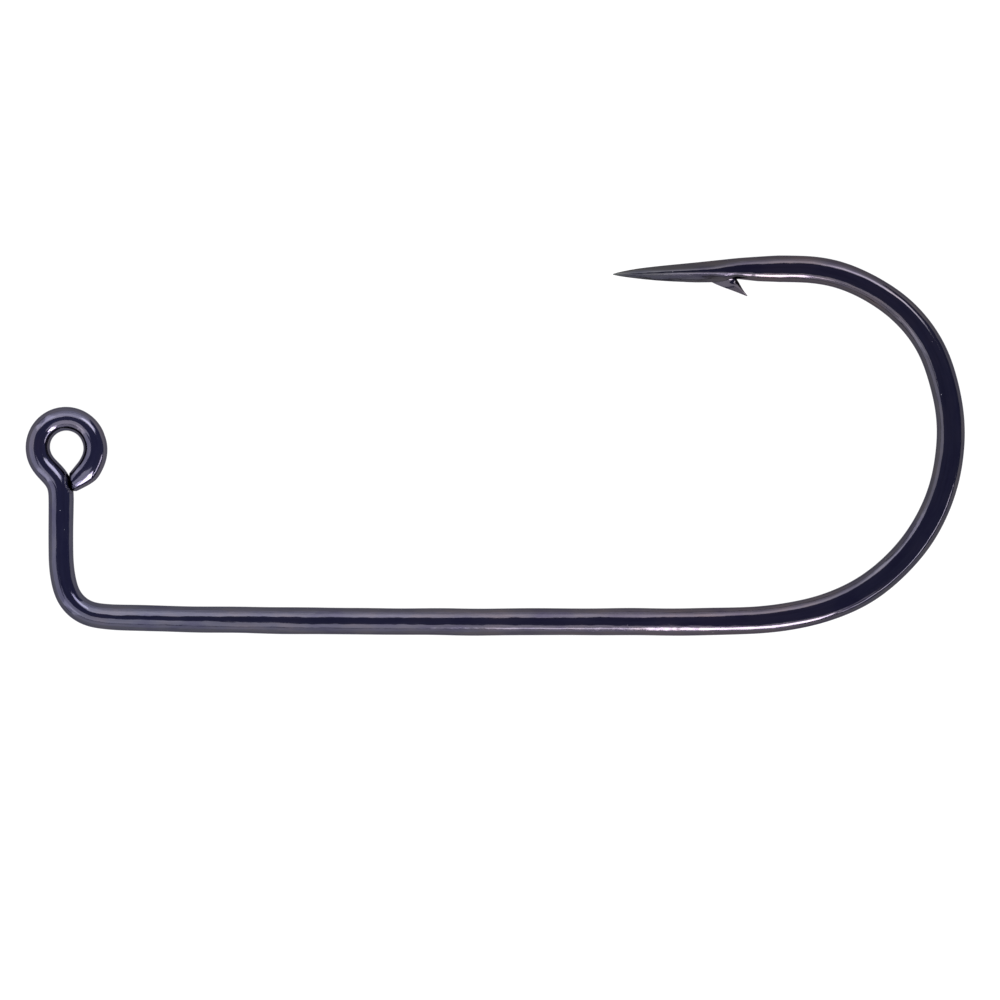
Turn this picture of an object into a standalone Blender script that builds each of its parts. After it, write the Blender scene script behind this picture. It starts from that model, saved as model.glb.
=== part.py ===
"""A right-angle jig hook, bent from one length of steel wire and lying on its side.

+X runs along the shank away from the eye, +Y from the shank to the point, +Z up through the wire.
The wire is followed from its cut end at the eye, round the ring, down the leg, round the corner,
along the shank, round the bend and out to the point. Lengths in the tables are millimetres.
"""

import math

import bmesh
import bpy
from mathutils import Vector

MM = 0.001

# Each run of the wire's centreline: (length in mm, degrees it turns to the left).
EYE_RING = ((0.98, 0.0), (1.15, 50.0), (5.02, 218.0), (0.53, 0.0), (0.84, -45.0))
LEG = ((3.0, 0.0),)
CORNER = ((1.45, 15.8), (2.0, 65.4), (1.2, 7.5))
SHANK = ((16.8, 1.3), (9.4, 0.0))
BEND = (
    (2.9, 2.7),
    (2.7, 9.7),
    (5.2, 35.6),
    (6.8, 45.9),
    (2.6, 15.4),
    (4.0, 35.5),
    (2.2, 15.8),
    (2.15, 17.6),
    (1.5, 3.8),
)
POINT_AND_BARB = ((7.18, 0.0),)
CUT_END_HEADING = 47.0  # degrees from +X, leaving the cut end
EASE = 0.8  # mm of wire over which one run eases into the next

# The wire's section: nominally round, pressed flat on both sides round the bend.
HALF_THICKNESS = 0.625  # mm, along Z
FLAT_HALF_THICKNESS = 0.55
FLAT_HALF_WIDTH = 0.30
FLATS = ((7.0, 1.0), (33.0, 1.0), (38.5, 0.0))  # (mm from the tip, share pressed)
# (mm from the tip, half width in the plane of the hook)
HALF_WIDTHS = (
    (7.7, 0.62),
    (12.0, 0.625),
    (18.0, 0.655),
    (27.0, 0.655),
    (34.0, 0.638),
    (46.0, 0.627),
    (62.0, 0.608),
    (65.0, 0.580),
    (71.5, 0.585),
    (74.0, 0.555),
)

# The cut end, spread outward and leaned to lie along the neck of the eye: (mm from the end,
# half width towards the hole, half width outside, half thickness, mm leaned per mm across).
CUT_END = (
    (0.0, 0.42, 0.36, 0.50, 0.50),
    (0.3, 0.44, 0.50, 0.54, 0.36),
    (0.6, 0.46, 0.63, 0.57, 0.20),
    (0.9, 0.48, 0.69, 0.60, 0.10),
    (1.3, 0.51, 0.64, 0.615, 0.0),
    (2.4, 0.555, 0.55, 0.625, 0.0),
)

# The point: (mm from the tip, half width outside, half width towards the shank, half thickness).
POINT = (
    (0.0, 0.03, 0.03, 0.03),
    (0.3, 0.095, 0.095, 0.08),
    (1.2, 0.23, 0.25, 0.20),
    (2.15, 0.31, 0.375, 0.30),
    (3.1, 0.375, 0.46, 0.38),
    (4.0, 0.435, 0.52, 0.44),
    (5.0, 0.505, 0.53, 0.50),
    (5.7, 0.55, 0.42, 0.53),
    (6.1, 0.565, 0.47, 0.54),
    (6.8, 0.585, 0.565, 0.55),
    (7.7, 0.62, 0.62, 0.55),
)
FACETED_TO = 4.4  # mm from the tip: four-sided up to here
ROUND_FROM = 6.2  # mm from the tip: the wire's own section from here

# The barb, raised towards the shank: (mm from the tip and mm off the axis) of its front edge,
# then of its back edge, then its half thickness.
BARB = (
    (4.20, 0.33, 5.30, 0.05, 0.22),
    (4.70, 0.60, 5.60, 0.28, 0.30),
    (5.05, 0.765, 5.76, 0.48, 0.28),
    (5.45, 0.925, 5.88, 0.70, 0.22),
    (5.80, 1.075, 6.01, 0.94, 0.13),
    (6.15, 1.225, 6.20, 1.205, 0.045),
)

TURN_PER_RING = 6.0  # degrees
RUN_PER_RING = 2.5  # mm
SIDE_STEPS = 6  # facets between the two flats, on each side
STEP = 0.02  # mm, for following the wire

RUNS = EYE_RING + LEG + CORNER + SHANK + BEND + POINT_AND_BARB
LENGTH = sum(run[0] for run in RUNS)


def clear_scene():
    for existing in list(bpy.data.objects):
        bpy.data.objects.remove(existing, do_unlink=True)


def between(table, at, column=1):
    """The value in a column of a table whose first column rises, held flat past its ends."""
    if at <= table[0][0]:
        return table[0][column]
    for low, high in zip(table, table[1:], strict=False):
        if at <= high[0]:
            share = (at - low[0]) / (high[0] - low[0])
            return low[column] + share * (high[column] - low[column])
    return table[-1][column]


def turned_by():
    """(mm from the cut end, degrees turned so far) at the end of each run."""
    marks, along, turned = [(0.0, 0.0)], 0.0, 0.0
    for length, turn in RUNS:
        along += length
        turned += turn
        marks.append((along, turned))
    return marks


def heading(marks, along):
    """The wire's direction in degrees, with neighbouring runs eased together."""
    around = [along + EASE * (i / 8 - 0.5) for i in range(9)]
    return CUT_END_HEADING + sum(between(marks, at) for at in around) / len(around)


def follow_wire():
    """(mm from the cut end, x, y, heading) at small steps along the centreline."""
    marks = turned_by()
    steps = round(LENGTH / STEP)
    x = y = 0.0
    line = [(0.0, x, y, heading(marks, 0.0))]
    for i in range(steps):
        middle = math.radians(heading(marks, (i + 0.5) * LENGTH / steps))
        x += math.cos(middle) * LENGTH / steps
        y += math.sin(middle) * LENGTH / steps
        along = (i + 1) * LENGTH / steps
        line.append((along, x, y, heading(marks, along)))
    return line


def stations(line):
    """Where the rings go: closer together at a turn, and at each row of POINT and CUT_END."""
    wanted = [LENGTH - row[0] for row in POINT] + [row[0] for row in CUT_END]
    kept = [line[0]]
    for here in line[1:-1]:
        last = kept[-1]
        turned = abs(here[3] - last[3]) >= TURN_PER_RING
        far = here[0] - last[0] >= RUN_PER_RING
        row = any(abs(here[0] - at) < STEP / 2 for at in wanted)
        if turned or far or row:
            kept.append(here)
    return [*kept, line[-1]]


def wire_outline(from_tip):
    """The wire's section away from the point, as (across, up) with +across to the left."""
    inside = outside = between(HALF_WIDTHS, from_tip)
    pressed = between(FLATS, from_tip)
    tall = HALF_THICKNESS + pressed * (FLAT_HALF_THICKNESS - HALF_THICKNESS)
    from_cut = LENGTH - from_tip
    if from_cut < CUT_END[-1][0]:
        inside, outside, tall = (between(CUT_END, from_cut, i) for i in (1, 2, 3))
    edge = math.acos(FLAT_HALF_WIDTH / HALF_THICKNESS)
    on_flat = math.acos(FLAT_HALF_WIDTH / 2.0 / HALF_THICKNESS)
    rise = tall * (1.0 - pressed + pressed / math.sin(edge))
    side = [edge - 2.0 * edge * i / SIDE_STEPS for i in range(SIDE_STEPS + 1)]
    angles = [on_flat, *side, -on_flat]
    ups = [max(-tall, min(tall, rise * math.sin(a))) for a in angles]
    left = [(inside * math.cos(a), up) for a, up in zip(angles, ups, strict=True)]
    right = [(-outside * math.cos(a), -up) for a, up in zip(angles, ups, strict=True)]
    return [(0.0, tall), *left, (0.0, -tall), *right]


def point_outline(from_tip):
    """The point's four-sided section, with as many corners as the wire's."""
    outside, inside, tall = (between(POINT, from_tip, i) for i in (1, 2, 3))
    outline = []
    for across, up in wire_outline(ROUND_FROM):
        angle = math.atan2(up, across)
        wide = inside if across > 0.0 else outside
        scale = 1.0 / (abs(math.cos(angle)) / wide + abs(math.sin(angle)) / tall)
        outline.append((scale * math.cos(angle), scale * math.sin(angle)))
    return outline


def outline_at(from_tip):
    """The section at a distance from the tip, eased from the faceted point to the round wire."""
    if from_tip <= FACETED_TO:
        return point_outline(from_tip)
    wire = wire_outline(from_tip)
    if from_tip >= POINT[-1][0]:
        return wire
    outside, inside, tall = (between(POINT, from_tip, i) for i in (1, 2, 3))
    widest = max(across for across, _ in wire)
    highest = max(up for _, up in wire)
    wire = [(a * (inside if a > 0.0 else outside) / widest, u * tall / highest) for a, u in wire]
    if from_tip >= ROUND_FROM:
        return wire
    share = (from_tip - FACETED_TO) / (ROUND_FROM - FACETED_TO)
    pairs = zip(point_outline(from_tip), wire, strict=True)
    return [(p[0] + share * (w[0] - p[0]), p[1] + share * (w[1] - p[1])) for p, w in pairs]


def loft(name, rings):
    """A closed body through rings of equally many points, each end closed by one face."""
    build = bmesh.new()
    made = [[build.verts.new(point) for point in ring] for ring in rings]
    for low, high in zip(made, made[1:], strict=False):
        for i in range(len(low)):
            j = (i + 1) % len(low)
            build.faces.new((low[i], low[j], high[j], high[i]))
    build.faces.new(tuple(reversed(made[0])))
    build.faces.new(made[-1])
    bmesh.ops.recalc_face_normals(build, faces=build.faces)
    mesh = bpy.data.meshes.new(name)
    build.to_mesh(mesh)
    build.free()
    return bpy.data.objects.new(name, mesh)


def placed(station, across, up):
    """A point of a section, at a station along the wire, in metres."""
    along, x, y, degrees = station
    angle = math.radians(degrees)
    lean = across * between(CUT_END, along, 4)
    x += lean * math.cos(angle) - across * math.sin(angle)
    y += lean * math.sin(angle) + across * math.cos(angle)
    return Vector((x, y, up)) * MM


def make_wire(line):
    rings = []
    for station in stations(line):
        outline = outline_at(LENGTH - station[0])
        rings.append([placed(station, across, up) for across, up in outline])
    return loft("hook", rings)


def make_barb(line):
    """The sliver raised from the point, set on the point's straight axis."""
    _, tip_x, tip_y, degrees = line[-1]
    angle = math.radians(degrees)
    rings = []
    for front_at, front_off, back_at, back_off, tall in BARB:
        ring = []
        for share, up in ((0, 0), (0.35, 1), (0.7, 1), (1, 0), (0.7, -1), (0.35, -1)):
            back = front_at + share * (back_at - front_at)
            off = front_off + share * (back_off - front_off)
            x = tip_x - back * math.cos(angle) - off * math.sin(angle)
            y = tip_y - back * math.sin(angle) + off * math.cos(angle)
            ring.append(Vector((x, y, up * tall)) * MM)
        rings.append(ring)
    return loft("barb_cutter", rings)


def steel():
    material = bpy.data.materials.new("black_nickel")
    material.use_nodes = True
    shader = material.node_tree.nodes["Principled BSDF"]
    shader.inputs["Base Color"].default_value = (0.075, 0.072, 0.095, 1.0)
    shader.inputs["Metallic"].default_value = 1.0
    shader.inputs["Roughness"].default_value = 0.16
    return material


def join_barb(hook, barb):
    """Unions the barb with the wire, then leaves one mesh with no modifier."""
    union = hook.modifiers.new("barb", "BOOLEAN")
    union.operation = "UNION"
    union.solver = "EXACT"
    union.object = barb
    bpy.context.view_layer.update()
    shape = hook.evaluated_get(bpy.context.evaluated_depsgraph_get())
    mesh = bpy.data.meshes.new_from_object(shape)
    hook.modifiers.clear()
    hook.data = mesh


def seat(hook):
    """Moves the mesh so that the origin is the centre of the bottom of its box."""
    corners = [vertex.co for vertex in hook.data.vertices]
    low = Vector(min(c[i] for c in corners) for i in range(3))
    high = Vector(max(c[i] for c in corners) for i in range(3))
    shift = Vector(((low.x + high.x) / 2, (low.y + high.y) / 2, low.z))
    for vertex in hook.data.vertices:
        vertex.co -= shift


def main():
    clear_scene()
    parts = bpy.data.collections.new("jig_hook")
    cutters = bpy.data.collections.new("jig_hook_cutters")
    bpy.context.scene.collection.children.link(parts)
    bpy.context.scene.collection.children.link(cutters)

    line = follow_wire()
    hook = make_wire(line)
    barb = make_barb(line)
    parts.objects.link(hook)
    cutters.objects.link(barb)
    barb.hide_render = True
    barb.display_type = "WIRE"

    join_barb(hook, barb)
    seat(hook)
    hook.data.name = "hook"
    hook.data.materials.clear()
    hook.data.materials.append(steel())
    for face in hook.data.polygons:
        face.material_index = 0
    hook.data.shade_smooth()
    hook.data.set_sharp_from_angle(angle=math.radians(35))
    bpy.context.view_layer.update()


main()
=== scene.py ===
import math

import bmesh
import bpy
import numpy as np
from mathutils import Matrix, Vector
from mathutils.kdtree import KDTree


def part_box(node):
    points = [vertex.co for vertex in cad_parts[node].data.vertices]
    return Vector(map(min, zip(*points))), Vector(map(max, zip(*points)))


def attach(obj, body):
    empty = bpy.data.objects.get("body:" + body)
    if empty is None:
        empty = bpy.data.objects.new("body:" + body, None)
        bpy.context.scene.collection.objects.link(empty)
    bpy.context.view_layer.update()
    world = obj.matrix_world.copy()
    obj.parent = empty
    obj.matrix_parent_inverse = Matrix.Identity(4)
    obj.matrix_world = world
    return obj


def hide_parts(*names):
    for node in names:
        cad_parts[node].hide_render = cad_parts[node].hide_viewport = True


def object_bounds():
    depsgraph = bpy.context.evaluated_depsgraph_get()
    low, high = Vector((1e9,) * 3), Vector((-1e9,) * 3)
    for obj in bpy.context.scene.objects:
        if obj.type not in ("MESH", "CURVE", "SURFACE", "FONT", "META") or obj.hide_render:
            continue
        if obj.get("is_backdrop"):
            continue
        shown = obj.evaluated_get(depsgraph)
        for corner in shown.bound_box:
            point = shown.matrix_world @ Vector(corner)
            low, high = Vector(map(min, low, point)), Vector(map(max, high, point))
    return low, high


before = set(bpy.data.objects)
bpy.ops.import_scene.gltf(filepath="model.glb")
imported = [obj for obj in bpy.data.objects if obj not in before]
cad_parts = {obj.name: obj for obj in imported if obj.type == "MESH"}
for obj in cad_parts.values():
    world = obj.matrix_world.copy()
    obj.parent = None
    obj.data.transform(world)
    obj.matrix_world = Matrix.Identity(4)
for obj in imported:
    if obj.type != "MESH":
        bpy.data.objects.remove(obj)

# A right-angle jig hook in black nickel, lying flat on white paper. The hook is one finely lofted
# wire that replaces the CAD body. Lengths in the tables are millimetres; the scene is in metres.
MM = 0.001
cad_low, cad_high = (np.array(v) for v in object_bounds())
node_low, node_high = (np.array(v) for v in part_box("hook"))
NODE_CENTRE = (node_low + node_high) / 2

# The wire's route from the cut end of the eye to the tip: (length, degrees it turns to the left).
RUNS = np.array(
    [
        (0.98, 0.0), (1.15, 50.0), (5.02, 218.0), (0.53, 0.0), (0.84, -45.0),  # eye ring
        (3.0, 0.0),  # leg
        (1.45, 15.8), (2.0, 65.4), (1.2, 7.5),  # corner
        (16.8, 1.3), (9.4, 0.0),  # shank
        (2.9, 2.7), (2.7, 9.7), (5.2, 35.6), (6.8, 45.9), (2.6, 15.4),  # bend
        (4.0, 35.5), (2.2, 15.8), (2.15, 17.6), (1.5, 3.8),
        (7.18, 0.0),  # point and barb
    ]
)
START_HEADING = 47.0
EASE = 0.8  # length over which one run's curvature blends into the next
EASE_SAMPLES = 33
ROUTE_STEP = 0.01
LENGTH = RUNS[:, 0].sum()

# Section sizes against the distance from the tip.
HALF_WIDTH = np.array(
    [
        (7.7, 0.62), (12.0, 0.625), (18.0, 0.655), (27.0, 0.655), (34.0, 0.638), (46.0, 0.627),
        (62.0, 0.608), (65.0, 0.580), (71.5, 0.585), (74.0, 0.555),
    ]
)
HALF_THICKNESS = np.array([(7.7, 0.55), (33.0, 0.55), (38.5, 0.60), (46.0, 0.618), (58.0, 0.625)])
FLAT_HALF_WIDTH = np.array(
    [
        (0.0, 0.0), (1.0, 0.03), (4.0, 0.085), (4.8, 0.12), (5.5, 0.18), (6.1, 0.23), (9.0, 0.26),
        (15.0, 0.28), (22.0, 0.33), (29.0, 0.33), (34.0, 0.27), (38.0, 0.20), (44.0, 0.14),
        (54.0, 0.06), (61.0, 0.0),
    ]
)
# From the cut end: half width towards the hole, half width outside, half thickness, lean of the cut.
CUT_END = np.array(
    [
        (0.0, 0.42, 0.36, 0.50, 0.50), (0.3, 0.44, 0.50, 0.54, 0.36), (0.6, 0.46, 0.63, 0.57, 0.20),
        (0.9, 0.48, 0.69, 0.60, 0.10), (1.3, 0.51, 0.64, 0.615, 0.0), (2.4, 0.555, 0.55, 0.625, 0.0),
    ]
)
# From the tip: half width outside, half width towards the shank, half thickness.
POINT = np.array(
    [
        (0.0, 0.022, 0.022, 0.022), (0.3, 0.095, 0.095, 0.08), (1.2, 0.23, 0.25, 0.20),
        (2.15, 0.31, 0.375, 0.30), (3.1, 0.375, 0.46, 0.38), (4.0, 0.435, 0.52, 0.44),
        (5.0, 0.505, 0.53, 0.50), (5.7, 0.55, 0.42, 0.53), (6.1, 0.565, 0.47, 0.54),
        (6.8, 0.585, 0.565, 0.55), (7.7, 0.62, 0.62, 0.55),
    ]
)
POINT_LENGTH = POINT[-1, 0]
FACETED_TO = 4.3
ROUND_FROM = 6.3
ROUND_POWER = 2.0
FACET_POWER = 1.14  # a superellipse of this power is a diamond with slightly soft ridges
PRESS_SHARPNESS = 22.0  # how crisp the edge of a pressed flat is
FULLY_PRESSED = 0.03  # flats narrower than this fade away
# From root to tip: front edge (back from the tip, off the axis), back edge (same), half thickness.
BARB = np.array(
    [
        (4.20, 0.33, 5.30, 0.05, 0.13), (4.70, 0.60, 5.60, 0.28, 0.20),
        (5.05, 0.765, 5.76, 0.48, 0.21), (5.45, 0.925, 5.88, 0.70, 0.18),
        (5.80, 1.075, 6.01, 0.94, 0.12), (6.15, 1.225, 6.20, 1.205, 0.03),
    ]
)
BARB_ROWS = 26
BARB_AROUND = 20
SEAM_BACK = (3.7, 6.5)  # where the barb's root is smoothed: back from the tip, and off the axis
SEAM_OFF = (0.16, 0.62)
SEAM_ROUNDS = 10
AROUND = 72
ANGLES = np.linspace(0.0, 2 * math.pi, AROUND, endpoint=False) + math.pi / 2
WIRE_RADIUS = 0.62
CLOSE = 0.10  # how far the drawn-out cut end leans on the neck
CLOSE_OVER = 0.5
TUCK_OVER = 0.09  # the rounded rim of the cut end
TUCK = 0.16
UNEVEN = 0.0030
SHARP_EDGE = math.radians(38)


def follow():
    """Distance, x, y and heading in radians along the wire, before it is moved into the frame."""
    ends = np.concatenate([[0.0], np.cumsum(RUNS[:, 0])])
    turned = np.concatenate([[0.0], np.cumsum(RUNS[:, 1])])
    count = int(round(LENGTH / ROUTE_STEP))
    along = np.linspace(0.0, LENGTH, count + 1)

    def heading(at):
        nearby = [
            np.interp(at + EASE * k, ends, turned) for k in np.linspace(-0.5, 0.5, EASE_SAMPLES)
        ]
        return np.radians(START_HEADING + np.mean(nearby, axis=0))

    middle = heading((along[1:] + along[:-1]) / 2)
    x = np.concatenate([[0.0], np.cumsum(np.cos(middle) * LENGTH / count)])
    y = np.concatenate([[0.0], np.cumsum(np.sin(middle) * LENGTH / count)])
    return along, x, y, heading(along)


S, X, Y, H = follow()
TIP = np.array([X[-1], Y[-1]])
TIP_FORWARD = np.array([math.cos(H[-1]), math.sin(H[-1])])
TIP_LEFT = np.array([-math.sin(H[-1]), math.cos(H[-1])])


def smooth(table, at, column=1):
    """A table's column with a monotone cubic between its rows (Fritsch-Carlson slopes)."""
    x, y = table[:, 0], table[:, column]
    d = np.diff(y) / np.diff(x)
    m = np.zeros_like(y)
    for i in range(1, len(y) - 1):
        if d[i - 1] * d[i] > 0:
            w1 = 2 * (x[i + 1] - x[i]) + (x[i] - x[i - 1])
            w2 = (x[i + 1] - x[i]) + 2 * (x[i] - x[i - 1])
            m[i] = (w1 + w2) / (w1 / d[i - 1] + w2 / d[i])
    m[0], m[-1] = d[0], d[-1]
    at = np.clip(at, x[0], x[-1])
    k = np.clip(np.searchsorted(x, at) - 1, 0, len(x) - 2)
    h = x[k + 1] - x[k]
    t = (at - x[k]) / h
    return float(
        y[k] * (2 * t**3 - 3 * t**2 + 1)
        + m[k] * h * (t**3 - 2 * t**2 + t)
        + y[k + 1] * (3 * t**2 - 2 * t**3)
        + m[k + 1] * h * (t**3 - t**2)
    )


def section(from_tip):
    """(across, up) of the metal: round or pressed wire, turning into the four-sided point."""
    inside = outside = smooth(HALF_WIDTH, from_tip)
    tall = smooth(HALF_THICKNESS, from_tip)
    from_cut = LENGTH - from_tip
    if from_cut < CUT_END[-1, 0]:
        inside, outside, tall = (smooth(CUT_END, from_cut, i) for i in (1, 2, 3))
    if from_tip < POINT_LENGTH:
        outside, inside, tall = (smooth(POINT, from_tip, i) for i in (1, 2, 3))
    flat = min(smooth(FLAT_HALF_WIDTH, from_tip), 0.8 * min(inside, outside))
    faceted = min(max((ROUND_FROM - from_tip) / (ROUND_FROM - FACETED_TO), 0.0), 1.0)
    faceted = faceted * faceted * (3 - 2 * faceted)
    power = ROUND_POWER + (FACET_POWER - ROUND_POWER) * faceted
    c, s = np.cos(ANGLES), np.sin(ANGLES)
    wide = np.where(c > 0, inside, outside)
    radius = (np.abs(c) ** power + np.abs(s) ** power) ** (-1.0 / power)
    lift = (1.0 - np.minimum(flat / wide, 0.8) ** power) ** (-1.0 / power)
    up = tall * lift * radius * s
    pressed = up / (1.0 + np.abs(up / tall) ** PRESS_SHARPNESS) ** (1.0 / PRESS_SHARPNESS)
    share = min(flat / FULLY_PRESSED, 1.0)
    return wide * radius * c, up * (1 - share) + pressed * share


def stations():
    """Where the sections go: closer together at turns, at the point and at the cut end."""
    from_tip = LENGTH - S
    per_mm = 4.0 + 12.0 * np.abs(np.gradient(H, S))
    per_mm = per_mm + np.where((from_tip < 8.0) | (S < 2.6), 10.0, 0.0)
    per_mm = per_mm + np.where(from_tip < 0.6, 40.0, 0.0)
    total = np.concatenate([[0.0], np.cumsum((per_mm[1:] + per_mm[:-1]) / 2 * np.diff(S))])
    return np.interp(np.linspace(0.0, total[-1], int(total[-1])), total, S)


def slow_waves(count=14, seed=7):
    """Rate along the wire, phase, turn round it and number of lobes of each wave of unevenness."""
    rng = np.random.default_rng(seed)
    return [
        (rng.uniform(0.35, 2.4), rng.uniform(0, 6.28), rng.uniform(0, 6.28), rng.integers(1, 4))
        for _ in range(count)
    ]


WAVES = slow_waves()


def unevenness(s):
    """How far the surface stands out, at each angle round the wire."""
    return UNEVEN * sum(np.sin(rate * s + phase) * np.cos(lobes * ANGLES + turn)
                        for rate, phase, turn, lobes in WAVES)


def mesh_object(name, verts, faces):
    mesh = bpy.data.meshes.new(name)
    mesh.from_pydata([tuple(v) for v in verts], [], faces)
    mesh.validate()
    mesh.update()
    ob = bpy.data.objects.new(name, mesh)
    bpy.context.scene.collection.objects.link(ob)
    return ob


def loft(name, sections):
    """A closed body through equal rings of points, with its normals outwards."""
    count, around = len(sections), len(sections[0])
    faces = []
    for i in range(count - 1):
        a, b = i * around, (i + 1) * around
        for j in range(around):
            k = (j + 1) % around
            faces.append((a + j, a + k, b + k, b + j))
    faces.append(tuple(reversed(range(around))))
    faces.append(tuple(range((count - 1) * around, count * around)))
    ob = mesh_object(name, np.concatenate(sections), faces)
    bm = bmesh.new()
    bm.from_mesh(ob.data)
    bmesh.ops.recalc_face_normals(bm, faces=bm.faces)
    bm.to_mesh(ob.data)
    bm.free()
    return ob


def make_wire():
    sections = []
    for s in stations():
        x, y, h = (np.interp(s, S, v) for v in (X, Y, H))
        across, up = section(LENGTH - s)
        fade = min(s / 1.0, (LENGTH - s) / 3.0, 1.0)
        grow = 1.0 + fade * unevenness(s) / WIRE_RADIUS
        across, up = across * grow, up * (1.0 + 0.4 * (grow - 1.0))
        lean = across * (smooth(CUT_END, s, 4) if s < CUT_END[-1, 0] else 0.0)
        if s < TUCK_OVER:
            tuck = 1.0 - TUCK * (1.0 - s / TUCK_OVER) ** 2
            across, up = across * tuck, up * tuck
        forward = lean - CLOSE * max(1 - s / CLOSE_OVER, 0.0)
        ring_x = x + forward * np.cos(h) - across * np.sin(h)
        ring_y = y + forward * np.sin(h) + across * np.cos(h)
        sections.append(np.stack([ring_x, ring_y, up], axis=1))
    return loft("hook_wire", sections)


def make_barb():
    """The sliver cut from the point: thin at its front edge, thick near its back edge."""
    index = np.arange(len(BARB), dtype=float)
    columns = [np.stack([index, BARB[:, i]], axis=1) for i in range(5)]
    t = np.linspace(0, 2 * math.pi, BARB_AROUND, endpoint=False)
    share = 0.5 - 0.5 * np.cos(t)
    profile = np.sign(np.sin(t)) * np.minimum(share / 0.7, 1.0)
    profile = profile * np.minimum((1 - share) / 0.22, 1.0) ** 0.6
    sections = []
    for row in np.linspace(0, len(BARB) - 1, BARB_ROWS):
        front_back, front_off, back_back, back_off, tall = (smooth(c, row) for c in columns)
        back = front_back + share * (back_back - front_back)
        off = front_off + share * (back_off - front_off)
        place = TIP[None] - back[:, None] * TIP_FORWARD + off[:, None] * TIP_LEFT
        sections.append(np.concatenate([place, (profile * tall)[:, None]], axis=1))
    return loft("barb_sliver", sections)


def join_barb(wire, barb):
    union = wire.modifiers.new("barb", "BOOLEAN")
    union.operation = "UNION"
    union.solver = "EXACT"
    union.object = barb
    evaluated = wire.evaluated_get(bpy.context.evaluated_depsgraph_get())
    merged = bpy.data.meshes.new_from_object(evaluated)
    wire.modifiers.clear()
    wire.data = merged
    bpy.data.objects.remove(barb)


def smooth_barb_root(mesh):
    """Let the barb grow out of the point's facet: heights near its root are evened out."""
    bm = bmesh.new()
    bm.from_mesh(mesh)
    seam = []
    for v in bm.verts:
        from_tip = np.array(v.co[:2]) - TIP
        back, off = -from_tip.dot(TIP_FORWARD), from_tip.dot(TIP_LEFT)
        if SEAM_BACK[0] < back < SEAM_BACK[1] and SEAM_OFF[0] < off < SEAM_OFF[1]:
            seam.append(v)
    for _ in range(SEAM_ROUNDS):
        bmesh.ops.smooth_vert(bm, verts=seam, factor=0.5, use_axis_z=True)
    bm.to_mesh(mesh)
    bm.free()


def mark_places(mesh, points):
    """Stores where each vertex lies: distance along the wire, then its place round it."""
    every = 5
    tree = KDTree(len(S[::every]))
    for k in range(0, len(S), every):
        tree.insert((X[k], Y[k], 0.0), k)
    tree.balance()
    places = np.empty((len(points), 3))
    for i, p in enumerate(points):
        k = tree.find((p[0], p[1], 0.0))[1]
        across = -(p[0] - X[k]) * math.sin(H[k]) + (p[1] - Y[k]) * math.cos(H[k])
        around = math.atan2(p[2], across)
        places[i] = (S[k], WIRE_RADIUS * math.cos(around), WIRE_RADIUS * math.sin(around))
    layer = mesh.attributes.new("on_wire", "FLOAT_VECTOR", "POINT")
    layer.data.foreach_set("vector", places.ravel())


def seat(mesh):
    """Moves the mesh from millimetres to the frame, centred on the CAD body."""
    points = np.empty(len(mesh.vertices) * 3)
    mesh.vertices.foreach_get("co", points)
    points = points.reshape(-1, 3)
    mark_places(mesh, points)
    middle = (points.min(axis=0) + points.max(axis=0)) / 2
    middle[2] = 0.0
    mesh.vertices.foreach_set("co", ((points - middle) * MM + NODE_CENTRE).ravel())


def make_hook():
    wire = make_wire()
    join_barb(wire, make_barb())
    smooth_barb_root(wire.data)
    seat(wire.data)
    wire.data.shade_smooth()
    wire.data.set_sharp_from_angle(angle=SHARP_EDGE)
    wire.data.materials.clear()
    wire.data.materials.append(black_nickel())
    for polygon in wire.data.polygons:
        polygon.material_index = 0
    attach(wire, "root")
    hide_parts("hook")


class Nodes:
    """Short ways to add and join shader nodes in one material."""

    def __init__(self, material):
        material.use_nodes = True
        self.nodes = material.node_tree.nodes
        self.links = material.node_tree.links

    def add(self, kind, **settings):
        node = self.nodes.new(kind)
        for key, value in settings.items():
            setattr(node, key, value)
        return node

    def feed(self, socket, value):
        if isinstance(value, bpy.types.NodeSocket):
            self.links.new(value, socket)
        else:
            socket.default_value = value

    def noise(self, source, scale, detail, rough, stretch=None):
        node = self.add("ShaderNodeTexNoise")
        node.inputs["Scale"].default_value = scale
        node.inputs["Detail"].default_value = detail
        node.inputs["Roughness"].default_value = rough
        if stretch:
            mapping = self.add("ShaderNodeMapping")
            mapping.inputs["Scale"].default_value = stretch
            self.links.new(source, mapping.inputs["Vector"])
            source = mapping.outputs["Vector"]
        self.links.new(source, node.inputs["Vector"])
        return node.outputs["Fac"]

    def ramp(self, value, stops):
        node = self.add("ShaderNodeValToRGB")
        elements = node.color_ramp.elements
        elements[0].position, elements[0].color = stops[0][0], (*stops[0][1], 1)
        elements[1].position, elements[1].color = stops[-1][0], (*stops[-1][1], 1)
        for at, colour in stops[1:-1]:
            elements.new(at).color = (*colour, 1)
        self.links.new(value, node.inputs["Fac"])
        return node.outputs["Color"]

    def mix(self, a, b, factor, kind="MIX"):
        node = self.add("ShaderNodeMix", data_type="RGBA", blend_type=kind)
        self.feed(node.inputs[6], a)
        self.feed(node.inputs[7], b)
        self.feed(node.inputs[0], factor)
        return node.outputs[2]

    def maths(self, operation, *values, clamp=False):
        node = self.add("ShaderNodeMath", operation=operation, use_clamp=clamp)
        for i, value in enumerate(values):
            self.feed(node.inputs[i], value)
        return node.outputs[0]


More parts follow.
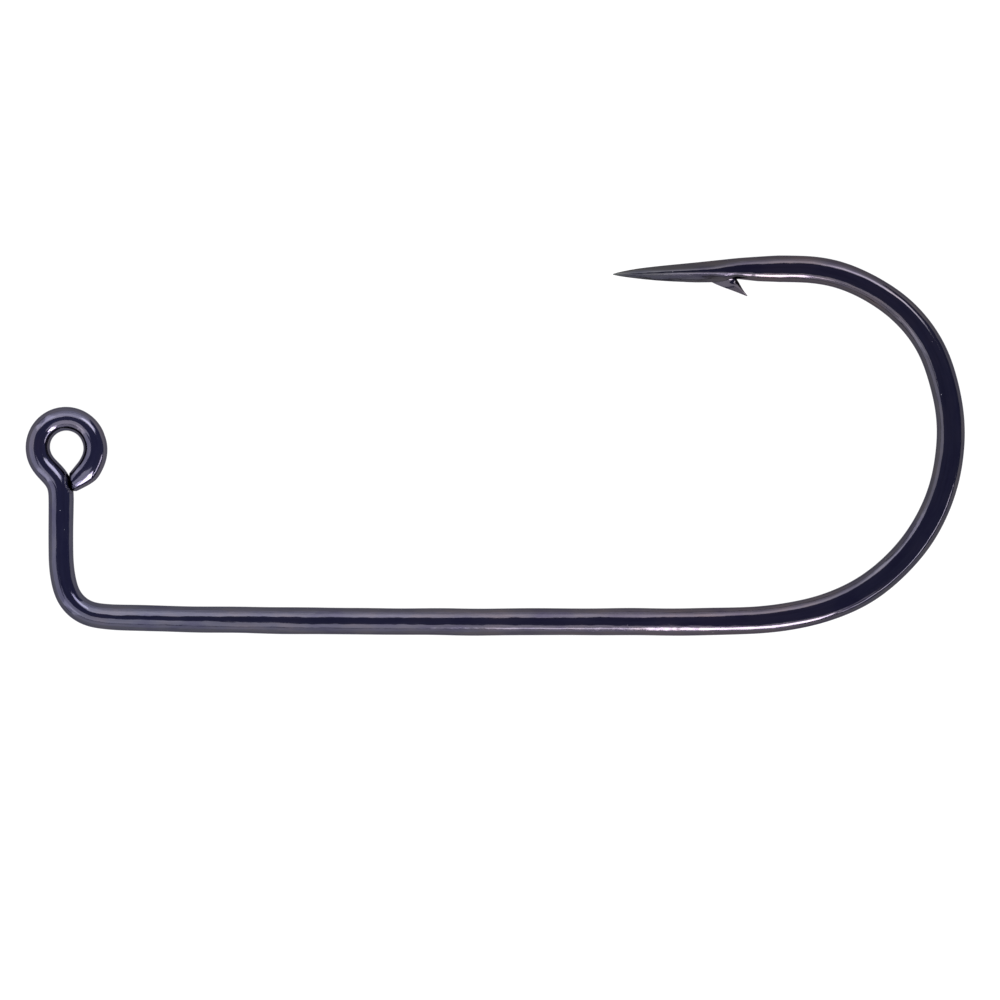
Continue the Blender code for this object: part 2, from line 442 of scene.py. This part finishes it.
BLACK, WHITE = (0, 0, 0), (1, 1, 1)
BODY = (  # share of the wire's length, colour
    (0.0, (0.078, 0.075, 0.102)),
    (0.10, (0.078, 0.075, 0.102)),
    (0.20, (0.070, 0.070, 0.092)),
    (0.42, (0.076, 0.070, 0.086)),
    (0.56, (0.074, 0.063, 0.076)),
    (0.64, (0.062, 0.059, 0.073)),
    (0.80, (0.060, 0.057, 0.070)),
    (0.90, (0.070, 0.060, 0.070)),
    (0.965, (0.056, 0.054, 0.062)),
    (0.992, (0.060, 0.061, 0.064)),
    (1.0, (0.085, 0.092, 0.082)),
)
CLOUDS = ((0.30, (0.76, 0.74, 0.88)), (0.50, WHITE), (0.72, (1.22, 1.13, 1.02)))
STREAKS = ((0.36, (0.86, 0.86, 0.88)), (0.50, WHITE), (0.66, (1.10, 1.10, 1.10)))
SPECK_COLOUR = (0.17, 0.17, 0.19, 1)
BUMP_HEIGHT = 0.000028


def black_nickel():
    """Dark violet mirror plating: hue shifts along the wire, clouds, drawing lines and specks."""
    material = bpy.data.materials.new("black_nickel")
    n = Nodes(material)
    bsdf = n.nodes["Principled BSDF"]
    bsdf.inputs["Metallic"].default_value = 1.0
    bsdf.inputs["Specular Tint"].default_value = (0.48, 0.48, 0.50, 1.0)
    place = n.add("ShaderNodeAttribute", attribute_name="on_wire").outputs["Vector"]
    parts = n.add("ShaderNodeSeparateXYZ")
    n.links.new(place, parts.inputs[0])
    along = n.maths("DIVIDE", parts.outputs[0], LENGTH)

    colour = n.ramp(along, BODY)
    cloud = n.noise(place, 1.1, 4.0, 0.6, (0.5, 1.0, 1.0))
    colour = n.mix(colour, n.ramp(cloud, CLOUDS), 1.0, "MULTIPLY")
    streak = n.noise(place, 5.0, 5.0, 0.65, (0.06, 1.6, 1.6))
    colour = n.mix(colour, n.ramp(streak, STREAKS), 1.0, "MULTIPLY")

    dust = n.add("ShaderNodeTexVoronoi", feature="F1")
    dust.inputs["Scale"].default_value = 2.1
    n.links.new(place, dust.inputs["Vector"])
    speck = n.ramp(dust.outputs["Distance"], ((0.022, WHITE), (0.045, BLACK)))
    keep = n.ramp(n.noise(place, 0.9, 1.0, 0.5), ((0.52, BLACK), (0.60, WHITE)))
    speck = n.mix(speck, keep, 1.0, "MULTIPLY")
    n.links.new(n.mix(colour, SPECK_COLOUR, speck), bsdf.inputs["Base Color"])

    haze = n.noise(place, 2.0, 4.0, 0.6, (0.25, 1, 1))
    rough = n.maths("MULTIPLY_ADD", haze, 0.10, 0.065)
    rough = n.maths("ADD", rough, n.maths("MULTIPLY", speck, 0.35), clamp=True)
    n.links.new(rough, bsdf.inputs["Roughness"])

    swell = n.noise(place, 1.6, 2.0, 0.5, (0.5, 1, 1))
    drawn = n.noise(place, 9.0, 4.0, 0.6, (0.12, 1, 1))
    height = n.maths("ADD", swell, n.maths("MULTIPLY", drawn, 0.10))
    height = n.maths("ADD", height, n.maths("MULTIPLY", speck, 0.4))
    bump = n.add("ShaderNodeBump")
    bump.inputs["Strength"].default_value = 0.9
    bump.inputs["Distance"].default_value = BUMP_HEIGHT
    n.links.new(height, bump.inputs["Height"])
    n.links.new(bump.outputs["Normal"], bsdf.inputs["Normal"])
    return material


def make_floor(half=6.0, gap=0.00002):
    corners = [(-half, -half, 0), (half, -half, 0), (half, half, 0), (-half, half, 0)]
    floor = mesh_object("floor", corners, [(0, 1, 2, 3)])
    floor.location.z = float(cad_low[2]) - gap
    paper = bpy.data.materials.new("white_paper")
    paper.use_nodes = True
    bsdf = paper.node_tree.nodes["Principled BSDF"]
    bsdf.inputs["Base Color"].default_value = (0.08, 0.08, 0.08, 1)
    bsdf.inputs["Roughness"].default_value = 0.9
    bsdf.inputs["Specular IOR Level"].default_value = 0.0
    bsdf.inputs["Emission Color"].default_value = (1.0, 1.0, 1.0, 1)
    bsdf.inputs["Emission Strength"].default_value = 0.97
    floor.data.materials.append(paper)
    floor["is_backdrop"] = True


def panel(name, centre, target, width, height, radiance, colour=(1, 1, 1)):
    """A soft box whose face shines with one brightness, whatever its size."""
    light = bpy.data.lights.new(name, "AREA")
    light.shape = "RECTANGLE"
    light.size, light.size_y = width, height
    light.energy = radiance * math.pi * width * height
    light.color = colour
    ob = bpy.data.objects.new(name, light)
    bpy.context.scene.collection.objects.link(ob)
    centre, target = Vector(centre), Vector(target)
    back = (centre - target).normalized()
    side = Vector((0, 0, 1)).cross(back).normalized()
    up = back.cross(side)
    turn = Matrix((side, up, back)).transposed().to_4x4()
    ob.matrix_world = Matrix.Translation(centre) @ turn
    ob.visible_camera = False


def box_light(name, azimuth, tilt, distance, width, height, radiance):
    """A panel at a compass angle from +X and an angle from straight up, facing the hook."""
    a, t = math.radians(azimuth), math.radians(tilt)
    away = Vector((math.cos(a) * math.sin(t), math.sin(a) * math.sin(t), math.cos(t)))
    panel(name, away * distance, (0.0, 0.0, HOOK_MIDDLE), width, height, radiance)


HOOK_MIDDLE = 0.0006
PINK = (1.0, 0.94, 0.97)
PALE_PINK = (1.0, 0.97, 1.0)


def make_lights():
    """Soft boxes left, behind and in front, a dark right side, and strips for the long glint."""
    box_light("left_box", 180, 68, 0.42, 0.62, 0.36, 1.55)
    box_light("back_box_high", 92, 40, 0.42, 0.60, 0.225, 2.7)
    box_light("back_box_middle", 92, 63, 0.43, 0.64, 0.125, 2.0)
    box_light("back_box_low", 92, 81, 0.44, 0.66, 0.135, 1.3)
    box_light("front_box_high", -106, 36, 0.42, 0.46, 0.30, 1.75)
    box_light("front_box_low", -104, 75, 0.46, 0.50, 0.24, 1.15)
    for name, x, z, width, height, radiance, colour in (
        ("front_strip", 0.0250, 0.044, 0.0290, 0.046, 18.0, PINK),
        ("front_strip_dim", 0.00465, 0.050, 0.0113, 0.020, 5.0, PALE_PINK),
    ):
        target = (x, -0.004, HOOK_MIDDLE)
        panel(name, (x, -0.070, z), target, width, height, radiance, colour)
    box_light("left_back_box", 136, 64, 0.44, 0.22, 0.34, 1.35)
    box_light("left_front_box", -139, 64, 0.44, 0.14, 0.34, 1.25)
    target = (0.016, -0.002, HOOK_MIDDLE)
    panel("side_strip", (0.070, -0.048, 0.030), target, 0.07, 0.010, 9.0, PALE_PINK)
    box_light("corner_box", 52, 46, 0.41, 0.20, 0.16, 3.9)


def make_world():
    """White where the camera sees it, dusky blue in reflections."""
    world = bpy.data.worlds.new("studio")
    bpy.context.scene.world = world
    world.use_nodes = True
    nodes, links = world.node_tree.nodes, world.node_tree.links
    dusk = nodes["Background"]
    dusk.inputs["Color"].default_value = (0.20, 0.21, 0.42, 1)
    dusk.inputs["Strength"].default_value = 0.9
    pale = nodes.new("ShaderNodeBackground")
    pale.inputs["Color"].default_value = (1, 1, 1, 1)
    pale.inputs["Strength"].default_value = 1.0
    path = nodes.new("ShaderNodeLightPath")
    choose = nodes.new("ShaderNodeMixShader")
    links.new(path.outputs["Is Camera Ray"], choose.inputs[0])
    links.new(dusk.outputs[0], choose.inputs[1])
    links.new(pale.outputs[0], choose.inputs[2])
    links.new(choose.outputs[0], nodes["World Output"].inputs["Surface"])


SENSOR = 36.0
CAMERA_HEIGHT = 0.25
VIEW_WIDTH = 0.0463
VIEW_OFFSET = (0.00022, -0.002519)  # from the hook's centre to the middle of the picture


def make_camera():
    lens = bpy.data.cameras.new("camera")
    lens.sensor_width = SENSOR
    lens.lens = SENSOR * CAMERA_HEIGHT / VIEW_WIDTH
    lens.clip_start, lens.clip_end = 0.01, 20.0
    camera = bpy.data.objects.new("camera", lens)
    bpy.context.scene.collection.objects.link(camera)
    x, y, z = NODE_CENTRE
    camera.location = (x + VIEW_OFFSET[0], y + VIEW_OFFSET[1], z + CAMERA_HEIGHT)
    bpy.context.scene.camera = camera


make_hook()
make_floor()
make_lights()
make_world()
make_camera()
bpy.context.scene.view_settings.view_transform = "Standard"
bpy.context.scene.view_settings.look = "None"
